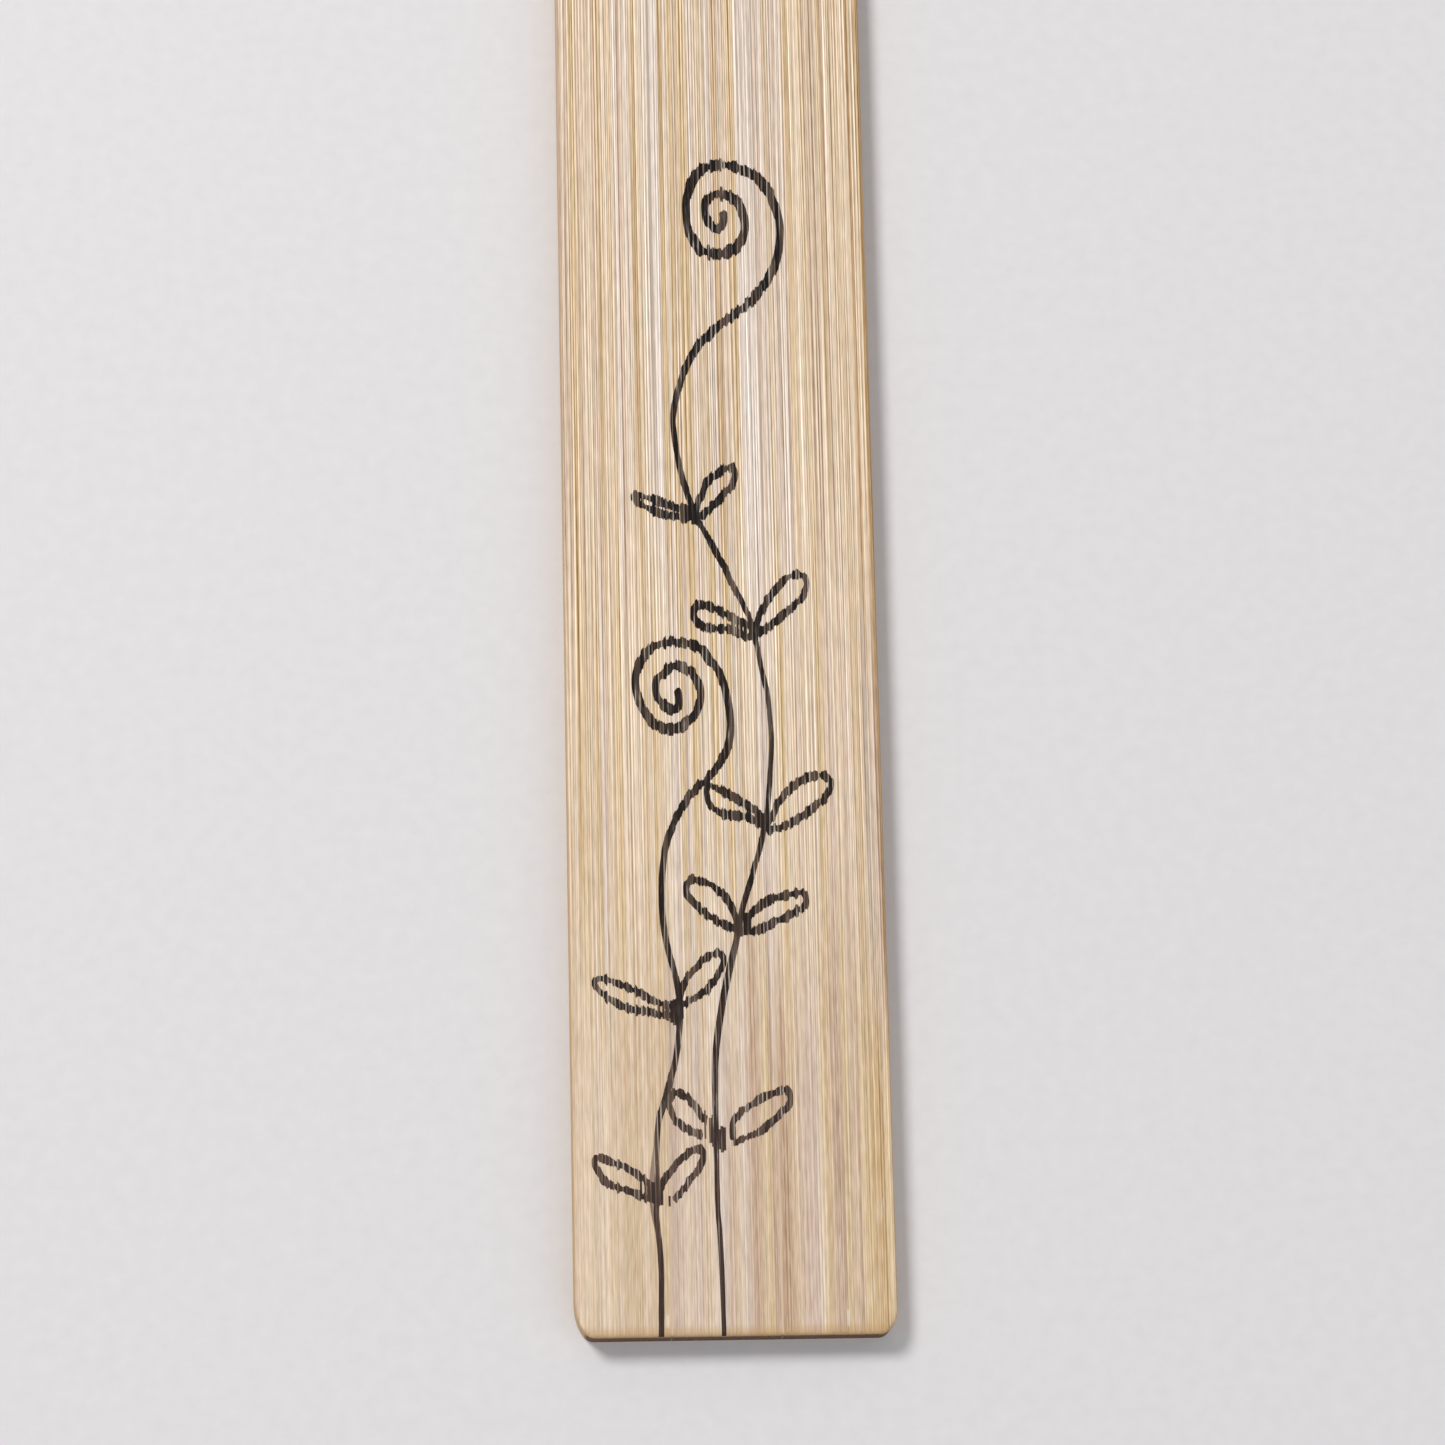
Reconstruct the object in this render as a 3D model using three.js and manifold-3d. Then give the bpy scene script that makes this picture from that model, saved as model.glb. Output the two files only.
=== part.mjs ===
// A folder for creasing paper: a flat slat of side-pressed bamboo, square at one end and thinned to
// a rounded creasing tip at the other, with two curling vines drawn in ink on its face.
// Millimetres. X runs across the slat, Y runs along it from the square end to the tip, and Z runs
// up from the flat back to the drawn face. The origin is on the back, under the slat's middle.

import * as THREE from 'three';
import { mergeVertices } from 'three/addons/utils/BufferGeometryUtils.js';
import Module from 'manifold-3d';

// The slat
const slatLength = 152;
const slatWidth = 25;
const slatThickness = 3;
const edgeRound = 0.4;          // radius of the sanded long edges
const leftCorner = { across: 1.5, along: 3.0 };     // the square end's corners, rounded by hand
const rightCorner = { across: 1.4, along: 2.1 };

// The creasing tip
const tipLength = 34;           // over which the sides draw in
const noseRadius = 4.5;         // the rounded end of the tip, seen from above
const noseSpread = 0.35;        // radians above the X axis at which the sides meet the nose
const sideSweep = 13;           // how long the sides stay nearly straight before they turn in
const noseLead = 11;            // how long they stay nearly straight before they meet the nose
const thinLength = 30;          // over which both faces slope towards each other
const tipThickness = 1;

// The lamination: three strips on edge, glued side by side
const leftGlueX = -5.0;
const rightGlueX = 3.55;
const glueThickness = 0.12;

// The drawing
const inkThickness = 0.05;
const stemStroke = 0.45;
const leafStroke = 0.4;
const inkClearance = 0.15;      // between the two vines, where a leaf of one reaches the other
const strokeStep = 1;           // length of one straight bit of a stroke
const drawing = { width: 25, length: 152 };     // the slat that the points below are drawn on

// Points of the vines: X from the slat's middle, Y from its square end.
const tallStem = [
  [-1, 0], [-1.3, 11], [-1.25, 20], [-0.4, 27], [0.7, 31], [1.6, 35], [2.7, 38.5], [3.5, 43],
  [3.8, 47], [3.55, 51], [2.8, 55], [1.95, 58], [0, 62.2], [-1.5, 65], [-2.9, 69], [-3.5, 73.5],
  [-3.1, 76], [-2, 79], [-0.4, 81], [2, 83], [4.6, 86], [5.5, 89], [5.2, 92], [4.2, 94],
  [2.7, 95.2], [0.7, 95.6], [-1.2, 94.7], [-2.1, 92], [-1.5, 89], [0.7, 87.9], [2.3, 88.8],
  [2.7, 90.7], [2, 92.5], [0.5, 93.1], [-0.5, 92.2], [-0.3, 90.8], [0.5, 90.2], [0.95, 91],
];
const shortStem = [
  [-5.8, 0], [-5.8, 6], [-6, 10], [-5.9, 15], [-5.4, 18], [-4.5, 21], [-4, 24.5], [-4.1, 28],
  [-5, 32], [-5, 37], [-4.3, 40], [-2.5, 43], [-0.6, 45], [0.5, 47.5], [0.3, 51], [-1.1, 54],
  [-3.3, 55.2], [-5.5, 54.8], [-6.9, 52], [-5.9, 49], [-4.2, 48.1], [-2.3, 49.2], [-1.8, 51],
  [-3.2, 53.2], [-4.6, 52.8], [-5.3, 51.5], [-4.8, 50.2], [-3.8, 49.8], [-3.6, 51.2],
];

// A leaf is two strokes from its base to its tip.
const tallLeaves = [
  { base: [-1.3, 15.7], tip: [-4.9, 18.5],
    upper: [[-2.2, 16.9], [-3.3, 18.4], [-4.4, 18.9]],
    lower: [[-2.6, 15.7], [-3.7, 16.15], [-4.8, 17.6]] },
  { base: [-1.2, 15.4], tip: [4.5, 18.8],
    upper: [[-0.2, 16.3], [1.2, 17.8], [3, 18.8], [4.1, 19.1]],
    lower: [[0.4, 15.1], [1.8, 15.7], [3.2, 16.7], [4.4, 17.9]] },
  { base: [0.8, 32], tip: [-3.2, 35.4],
    upper: [[0.35, 33.6], [-0.7, 35], [-2, 35.7], [-2.8, 36]],
    lower: [[0, 32], [-0.9, 32.6], [-2, 33.4], [-3.1, 34.6]] },
  { base: [1.1, 32], tip: [6.2, 34.3],
    upper: [[1.8, 33], [2.8, 33.9], [4.4, 34.5], [5.8, 34.8]],
    lower: [[1.9, 31.7], [3.1, 32.1], [4.6, 32.8], [6, 33.6]] },
  { base: [3.1, 40.3], tip: [-1.4, 43.5],
    upper: [[2.4, 41.4], [0.9, 42.4], [-0.6, 43.2]],
    lower: [[2.3, 40.6], [1, 41], [-0.4, 41.2], [-1.3, 42.2]] },
  { base: [3.2, 40.1], tip: [8.45, 43.8],
    upper: [[3.8, 41.1], [4.8, 42.8], [6, 43.8], [7.8, 44.2]],
    lower: [[4.2, 39.9], [5.6, 40.6], [7.2, 41.8], [8.3, 43]] },
  { base: [2.6, 56.1], tip: [-2.15, 57.9],
    upper: [[1.8, 56.8], [0.4, 57.5], [-1, 58.2]],
    lower: [[1.7, 55.8], [0.4, 56.3], [-1.2, 56.4], [-2.15, 57.2]] },
  { base: [2.7, 56], tip: [6.95, 60.2],
    upper: [[3, 57.2], [4.1, 59.1], [5.4, 60.5], [6.4, 60.8]],
    lower: [[3.4, 56.2], [4.4, 56.9], [5.6, 57.9], [6.7, 59.2]] },
  { base: [-1.9, 65.8], tip: [-6.8, 67.6],
    upper: [[-2.8, 66.5], [-4.5, 67.1], [-6, 67.5]],
    lower: [[-2.6, 65.4], [-3.8, 65.5], [-5.3, 65.9], [-6.4, 66.7]] },
  { base: [-1.8, 65.6], tip: [1.4, 69.4],
    upper: [[-1.6, 66.8], [-0.9, 68.5], [0.1, 69.35], [1, 69.8]],
    lower: [[-0.7, 66.3], [0.3, 67.3], [1.2, 68.4]] },
];
const shortLeaves = [
  { base: [-6, 11.2], tip: [-10.7, 13.6],
    upper: [[-6.8, 12.1], [-8, 12.95], [-9.5, 13.65], [-10.4, 14]],
    lower: [[-6.6, 10.7], [-7.6, 11.1], [-9, 11.6], [-10.2, 12.4]] },
  { base: [-5.9, 10.8], tip: [-2.3, 14],
    upper: [[-5.4, 12.1], [-4.5, 13.3], [-3.4, 14.25], [-2.6, 14.5]],
    lower: [[-4.8, 10.6], [-3.7, 11.7], [-2.7, 13]] },
  { base: [-4.2, 25.4], tip: [-10.5, 27.8],
    upper: [[-5.4, 26.05], [-6.9, 26.8], [-8.6, 27.6], [-10, 28.05]],
    lower: [[-5.6, 25.1], [-7.6, 25.55], [-9, 26.2], [-10.2, 27.1]] },
  { base: [-4.1, 25.9], tip: [-0.45, 29.5],
    upper: [[-3.6, 27.4], [-2.6, 28.8], [-1.5, 29.8], [-0.8, 30]],
    lower: [[-3, 26.25], [-1.8, 27.1], [-0.8, 28.4]] },
];

const wasm = await Module();
wasm.setup();

const squareEnd = -slatLength / 2;
const tipEnd = slatLength / 2;
const halfWidth = slatWidth / 2;
const cutMargin = 5;            // how far a cutting body reaches past what it cuts

function toSolid(geometry) {
  const bare = geometry.index ? geometry.toNonIndexed() : geometry.clone();
  bare.deleteAttribute('normal');
  bare.deleteAttribute('uv');
  const merged = mergeVertices(bare, 1e-5);
  return new wasm.Manifold(new wasm.Mesh({
    numProp: 3,
    vertProperties: new Float32Array(merged.attributes.position.array),
    triVerts: new Uint32Array(merged.index.array),
  }));
}

function toMesh(solid, name, material) {
  const { vertProperties, triVerts } = solid.getMesh();
  const geometry = new THREE.BufferGeometry();
  geometry.setAttribute('position', new THREE.BufferAttribute(new Float32Array(vertProperties), 3));
  geometry.setIndex(new THREE.BufferAttribute(new Uint32Array(triVerts), 1));
  geometry.computeVertexNormals();
  const mesh = new THREE.Mesh(geometry, material);
  mesh.name = name;
  return mesh;
}

function block(low, high) {
  const size = new THREE.Vector3().subVectors(high, low);
  const centre = new THREE.Vector3().addVectors(low, high).multiplyScalar(0.5);
  const geometry = new THREE.BoxGeometry(size.x, size.y, size.z);
  return toSolid(geometry.translate(centre.x, centre.y, centre.z));
}

// The slat seen from above: square end, straight sides, and sides that sweep in to a round nose.
function slatOutline() {
  const shoulder = tipEnd - tipLength;
  const noseY = tipEnd - noseRadius;
  const meet = new THREE.Vector2(
    noseRadius * Math.cos(noseSpread), noseY + noseRadius * Math.sin(noseSpread));
  const lead = new THREE.Vector2(
    meet.x + noseLead * Math.sin(noseSpread), meet.y - noseLead * Math.cos(noseSpread));
  const outline = new THREE.Shape();
  outline.moveTo(-halfWidth + leftCorner.across, squareEnd);
  outline.lineTo(halfWidth - rightCorner.across, squareEnd);
  outline.absellipse(halfWidth - rightCorner.across, squareEnd + rightCorner.along,
    rightCorner.across, rightCorner.along, -Math.PI / 2, 0, false);
  outline.lineTo(halfWidth, shoulder);
  outline.bezierCurveTo(halfWidth, shoulder + sideSweep, lead.x, lead.y, meet.x, meet.y);
  outline.absarc(0, noseY, noseRadius, noseSpread, Math.PI - noseSpread, false);
  outline.bezierCurveTo(-lead.x, lead.y, -halfWidth, shoulder + sideSweep, -halfWidth, shoulder);
  outline.lineTo(-halfWidth, squareEnd + leftCorner.along);
  outline.absellipse(-halfWidth + leftCorner.across, squareEnd + leftCorner.along,
    leftCorner.across, leftCorner.along, Math.PI, 1.5 * Math.PI, false);
  return outline;
}

// What the maker sands off the drawn face: the profile lies in Y and Z, and runs right across.
function faceCut() {
  const start = tipEnd - thinLength;
  const drop = (slatThickness - tipThickness) / 2;
  const profile = new THREE.Shape();
  profile.moveTo(start, slatThickness);
  profile.quadraticCurveTo(tipEnd - thinLength / 2, slatThickness, tipEnd, slatThickness - drop);
  profile.lineTo(tipEnd + cutMargin, slatThickness - drop);
  profile.lineTo(tipEnd + cutMargin, slatThickness + cutMargin);
  profile.lineTo(start, slatThickness + cutMargin);
  const geometry = new THREE.ExtrudeGeometry(profile, {
    depth: slatWidth + 2 * cutMargin, bevelEnabled: false, curveSegments: 8,
  });
  // profile X -> Y, profile Y -> Z, extrusion -> X
  geometry.applyMatrix4(new THREE.Matrix4().set(
    0, 0, 1, -halfWidth - cutMargin,
    1, 0, 0, 0,
    0, 1, 0, 0,
    0, 0, 0, 1));
  return toSolid(geometry);
}

function wholeSlat() {
  const geometry = new THREE.ExtrudeGeometry(slatOutline(), {
    depth: slatThickness - 2 * edgeRound,
    bevelThickness: edgeRound,
    bevelSize: edgeRound,
    bevelOffset: -edgeRound,
    bevelSegments: 3,
    curveSegments: 8,
  });
  geometry.translate(0, 0, edgeRound);
  const upperCut = faceCut();
  const lowerCut = upperCut.mirror([0, 0, 1]).translate([0, 0, slatThickness]);
  return toSolid(geometry).subtract(upperCut).subtract(lowerCut);
}

// One strip or glue line: the part of the slat between two planes across X.
function slice(slat, fromX, toX) {
  const low = new THREE.Vector3(fromX, squareEnd - cutMargin, -cutMargin);
  const high = new THREE.Vector3(toX, tipEnd + cutMargin, slatThickness + cutMargin);
  return slat.intersect(block(low, high));
}

function onSlat([x, y]) {
  return new THREE.Vector2(
    x * slatWidth / drawing.width, squareEnd + y * slatLength / drawing.length);
}

// A pen stroke of even width with round ends, lying on the drawn face.
function stroke(points, width) {
  const curve = new THREE.SplineCurve(points.map(onSlat));
  const steps = Math.ceil(curve.getLength() / strokeStep);
  const left = [];
  const right = [];
  for (let i = 0; i <= steps; i += 1) {
    const point = curve.getPointAt(i / steps);
    const tangent = curve.getTangentAt(i / steps);
    const side = new THREE.Vector2(-tangent.y, tangent.x).multiplyScalar(width / 2);
    left.push(point.clone().add(side));
    right.unshift(point.clone().sub(side));
  }
  const endCap = curve.getPointAt(1).addScaledVector(curve.getTangentAt(1), width / 2);
  const startCap = curve.getPointAt(0).addScaledVector(curve.getTangentAt(0), -width / 2);
  const outline = new THREE.Shape([...left, endCap, ...right, startCap]);
  const geometry = new THREE.ExtrudeGeometry(outline, { depth: inkThickness, bevelEnabled: false });
  return toSolid(geometry.translate(0, 0, slatThickness));
}

// A vine's stem and leaves in one layer of ink, kept to the flat of the drawn face.
function vine(stem, leaves, extra = 0) {
  let ink = stroke(stem, stemStroke + extra);
  for (const { base, tip, upper, lower } of leaves) {
    ink = ink.add(stroke([base, ...upper, tip], leafStroke + extra));
    ink = ink.add(stroke([base, ...lower, tip], leafStroke + extra));
  }
  const low = new THREE.Vector3(-halfWidth + edgeRound, squareEnd + edgeRound, slatThickness);
  const high = new THREE.Vector3(
    halfWidth - edgeRound, tipEnd - thinLength, slatThickness + inkThickness);
  return ink.intersect(block(low, high));
}

const bamboo = new THREE.MeshStandardMaterial({ color: 0xd9c3a5, roughness: 0.55, metalness: 0 });
const glue = new THREE.MeshStandardMaterial({ color: 0xa98a66, roughness: 0.45, metalness: 0 });
const ink = new THREE.MeshStandardMaterial({ color: 0x262324, roughness: 0.6, metalness: 0 });

const slat = wholeSlat();
const halfGlue = glueThickness / 2;
const shortVine = vine(shortStem, shortLeaves);
const shortVineWithClearance = vine(shortStem, shortLeaves, 2 * inkClearance);
const tallVine = vine(tallStem, tallLeaves).subtract(shortVineWithClearance);

const boneFolder = new THREE.Group();
boneFolder.add(
  toMesh(slice(slat, -halfWidth - cutMargin, leftGlueX - halfGlue), 'bamboo_strip_left', bamboo),
  toMesh(slice(slat, leftGlueX - halfGlue, leftGlueX + halfGlue), 'glue_line_left', glue),
  toMesh(slice(slat, leftGlueX + halfGlue, rightGlueX - halfGlue), 'bamboo_strip_middle', bamboo),
  toMesh(slice(slat, rightGlueX - halfGlue, rightGlueX + halfGlue), 'glue_line_right', glue),
  toMesh(slice(slat, rightGlueX + halfGlue, halfWidth + cutMargin), 'bamboo_strip_right', bamboo),
  toMesh(tallVine, 'ink_vine_tall', ink),
  toMesh(shortVine, 'ink_vine_short', ink),
);

export default boneFolder;
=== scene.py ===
# A bamboo folder for creasing paper, with two curling vines drawn on it in ink.
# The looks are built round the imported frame: X across the slat, Y along it, Z up from its back.

import math

import bmesh
import bpy
from mathutils import Matrix, Vector, noise
from mathutils.bvhtree import BVHTree
from mathutils.geometry import delaunay_2d_cdt, interpolate_bezier


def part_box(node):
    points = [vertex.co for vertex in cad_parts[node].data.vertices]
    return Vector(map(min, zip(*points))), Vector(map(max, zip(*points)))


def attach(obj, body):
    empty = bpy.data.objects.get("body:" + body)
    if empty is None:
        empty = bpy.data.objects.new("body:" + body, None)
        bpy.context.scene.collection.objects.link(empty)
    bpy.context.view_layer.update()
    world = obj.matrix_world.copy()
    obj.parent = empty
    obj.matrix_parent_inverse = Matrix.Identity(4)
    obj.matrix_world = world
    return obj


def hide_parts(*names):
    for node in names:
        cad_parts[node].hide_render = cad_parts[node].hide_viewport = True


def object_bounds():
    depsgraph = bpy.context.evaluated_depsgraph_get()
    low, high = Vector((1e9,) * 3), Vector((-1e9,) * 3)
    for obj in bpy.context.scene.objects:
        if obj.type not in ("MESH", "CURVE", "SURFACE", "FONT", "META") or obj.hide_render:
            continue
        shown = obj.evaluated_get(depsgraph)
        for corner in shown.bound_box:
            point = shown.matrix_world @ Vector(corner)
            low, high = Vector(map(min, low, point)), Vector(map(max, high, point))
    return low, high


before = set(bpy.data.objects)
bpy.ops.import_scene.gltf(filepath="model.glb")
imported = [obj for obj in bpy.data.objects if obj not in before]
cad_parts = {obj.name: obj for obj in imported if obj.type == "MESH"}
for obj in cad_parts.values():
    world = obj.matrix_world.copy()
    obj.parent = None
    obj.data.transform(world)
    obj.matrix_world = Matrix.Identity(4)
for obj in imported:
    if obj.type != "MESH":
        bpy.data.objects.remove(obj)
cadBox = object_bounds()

mm = 0.001
squareEnd = cadBox[0].y / mm
tipEnd = cadBox[1].y / mm
halfWidth = cadBox[1].x / mm
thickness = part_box("bamboo_strip_middle")[1].z / mm

camera = {
    "target": (-0.06, -27.39, 3.0),   # mm, a point on the drawn face
    "distance": 372.9,                # mm
    "tilt": 14.47,                    # degrees from straight down
    "turn": -14.38,                   # degrees round Z
    "roll": -1.311,
    "lens": 117.1,
    "sensor": 36.0,
    "near": 0.01,                     # metres
    "far": 20.0,
}


def makeCamera(c):
    tilt, turn, roll = (math.radians(c[k]) for k in ("tilt", "turn", "roll"))
    back = Vector((math.sin(turn) * math.sin(tilt), -math.cos(turn) * math.sin(tilt), math.cos(tilt)))
    level = (Vector((0, 1, 0)) - back * back.y).normalized()
    side = level.cross(back)
    right = side * math.cos(roll) + level * math.sin(roll)
    up = back.cross(right)
    place = (Vector(c["target"]) + back * c["distance"]) * mm
    data = bpy.data.cameras.new("camera")
    data.lens = c["lens"]
    data.sensor_width = c["sensor"]
    data.clip_start = c["near"]
    data.clip_end = c["far"]
    seen = bpy.data.objects.new("camera", data)
    seen.matrix_world = Matrix.Translation(place) @ Matrix((right, up, back)).transposed().to_4x4()
    bpy.context.scene.collection.objects.link(seen)
    bpy.context.scene.camera = seen


studio = {
    "lights": [                       # places and sizes in metres
        {"name": "window", "place": (-0.42, 0.34, 0.78), "size": 0.30,
         "power": 5.6, "tint": (1.0, 0.972, 0.945)},
        {"name": "fill", "place": (0.55, -0.50, 0.70), "size": 1.10,
         "power": 2.1, "tint": (0.97, 0.98, 1.0)},
    ],
    "aim": 0.3,                       # share of the way from the slat's middle to its square end
    "air": (0.97, 0.97, 1.0, 1),
    "airPower": 0.39,
}


def makeLights(s):
    for row in s["lights"]:
        data = bpy.data.lights.new(row["name"], "AREA")
        data.shape = "DISK"
        data.size = row["size"]
        data.energy = row["power"]
        data.color = row["tint"]
        lamp = bpy.data.objects.new(row["name"], data)
        aim = Vector((0, squareEnd * s["aim"] * mm, 0)) - Vector(row["place"])
        lamp.matrix_world = (Matrix.Translation(row["place"])
                             @ aim.to_track_quat("-Z", "Y").to_matrix().to_4x4())
        bpy.context.scene.collection.objects.link(lamp)
    world = bpy.data.worlds.new("studio")
    world.use_nodes = True
    sky = world.node_tree.nodes["Background"]
    sky.inputs["Color"].default_value = s["air"]
    sky.inputs["Strength"].default_value = s["airPower"]
    bpy.context.scene.world = world
    bpy.context.scene.view_settings.view_transform = "Standard"


class Value:
    # one number of a material, which adds, subtracts and multiplies like a plain number
    def __init__(self, paint, socket):
        self.paint = paint
        self.socket = socket

    def math(self, operation, *numbers):
        return self.paint.node("ShaderNodeMath", {"operation": operation}, dict(enumerate(numbers)))

    def __add__(self, other):
        return self.math("ADD", self, other)

    def __radd__(self, other):
        return self.math("ADD", other, self)

    def __sub__(self, other):
        return self.math("SUBTRACT", self, other)

    def __rsub__(self, other):
        return self.math("SUBTRACT", other, self)

    def __mul__(self, other):
        return self.math("MULTIPLY", self, other)

    def __rmul__(self, other):
        return self.math("MULTIPLY", other, self)

    def __truediv__(self, other):
        return self.math("DIVIDE", self, other)

    def __abs__(self):
        return self.math("ABSOLUTE", self)

    def clamp(self):
        return self.paint.node("ShaderNodeClamp", {}, {"Value": self})

    def step(self, low, high):
        # 0 below low, 1 above high, smooth between; the other way round when low is above high
        settings = {"interpolation_type": "SMOOTHSTEP"}
        sockets = {"Value": self, "From Min": low, "From Max": high, "To Min": 0.0, "To Max": 1.0}
        if low > high:
            sockets.update({"From Min": high, "From Max": low, "To Min": 1.0, "To Max": 0.0})
        return self.paint.node("ShaderNodeMapRange", settings, sockets)


class Paint:
    def __init__(self, name):
        self.material = bpy.data.materials.new(name)
        self.material.use_nodes = True
        self.tree = self.material.node_tree
        self.tree.nodes.clear()
        self.output = self.tree.nodes.new("ShaderNodeOutputMaterial")
        self.shader = self.tree.nodes.new("ShaderNodeBsdfPrincipled")
        self.tree.links.new(self.shader.outputs["BSDF"], self.output.inputs["Surface"])

    def feed(self, socket, value):
        if isinstance(value, Value):
            self.tree.links.new(value.socket, socket)
        else:
            socket.default_value = value

    def node(self, kind, settings, sockets, out=0):
        made = self.tree.nodes.new(kind)
        for key, value in settings.items():
            if key == "stops":
                ramp = made.color_ramp
                while len(ramp.elements) < len(value):
                    ramp.elements.new(1.0)
                for element, (position, colour) in zip(ramp.elements, value):
                    element.position = position
                    element.color = colour
            else:
                setattr(made, key, value)
        for key, value in sockets.items():
            self.feed(made.inputs[key], value)
        return Value(self, made.outputs[out])

    def place(self):
        # where a point lies on the piece, as three values in millimetres
        spot = self.node("ShaderNodeTexCoord", {}, {}, "Object")
        scaled = self.node("ShaderNodeVectorMath", {"operation": "SCALE"}, {0: spot, "Scale": 1 / mm})
        return [self.node("ShaderNodeSeparateXYZ", {}, {0: scaled}, k) for k in "XYZ"]

    def fibre(self, spot, grain, seed):
        # noise drawn out along Y: waves per mm across and along, place in the noise, detail
        x, y, z = spot
        across, along, start, detail = grain
        start += seed
        vector = self.node("ShaderNodeCombineXYZ", {}, {
            0: x * across + start, 1: y * along + start * 1.7, 2: z * across - start})
        return self.node("ShaderNodeTexNoise", {"noise_dimensions": "3D"}, {
            "Vector": vector, "Scale": 1.0, "Detail": detail, "Roughness": 0.5})

    def mix(self, share, first, second):
        return self.node("ShaderNodeMix", {"data_type": "RGBA"}, {0: share, 6: first, 7: second}, 2)

    def shift(self, colour, amount, direction):
        # moves a colour by a signed amount along a direction in colour space
        step = self.node("ShaderNodeVectorMath", {"operation": "SCALE"}, {0: direction, "Scale": amount})
        return self.node("ShaderNodeVectorMath", {"operation": "ADD"}, {0: colour, 1: step})

    def profile(self, x, rows, tones):
        # colour across a strip, from a given list of (X, tone name)
        low, high = rows[0][0], rows[-1][0]
        stops = [((place - low) / (high - low), tones[key]) for place, key in rows]
        return self.node("ShaderNodeValToRGB", {"stops": stops}, {0: (x - low) / (high - low)})

    def light(self, colour):
        # screen colour to the shader's linear light
        return self.node("ShaderNodeGamma", {}, {"Color": colour, "Gamma": 2.2})

    def bump(self, height, depth):
        # height 0 to 1, depth in millimetres
        return self.node("ShaderNodeBump", {}, {
            "Height": height, "Strength": 1.0, "Distance": depth * mm})

    def coat(self, colour, roughness, sheen=0.5, relief=None):
        # joins a finished colour, roughness and relief to the shader
        self.feed(self.shader.inputs["Base Color"], self.light(colour))
        self.feed(self.shader.inputs["Roughness"], roughness)
        if relief is not None:
            self.feed(self.shader.inputs["Normal"], relief)
        self.shader.inputs["Specular IOR Level"].default_value = sheen
        return self.material


def screen(r, g, b):
    # a colour as a screen counts it, each part 0 to 255
    return (r / 255, g / 255, b / 255, 1)


# the tones of the fibres, in screen colour
fibreTones = {
    "white": screen(233, 219, 204),
    "pale": screen(223, 207, 192),
    "cream": screen(228, 206, 178),
    "amber": screen(230, 204, 167),
    "tan": screen(212, 187, 156),
    "olive": screen(213, 190, 160),
    "oat": screen(221, 199, 174),
    "light": screen(232, 212, 188),
    "sand": screen(212, 184, 142),
    "gold": screen(201, 171, 129),
    "rose": screen(206, 182, 163),
    "clay": screen(195, 166, 140),
    "brown": screen(180, 152, 126),
    "grey": screen(172, 157, 146),
    "rust": screen(176, 137, 92),
}

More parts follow.
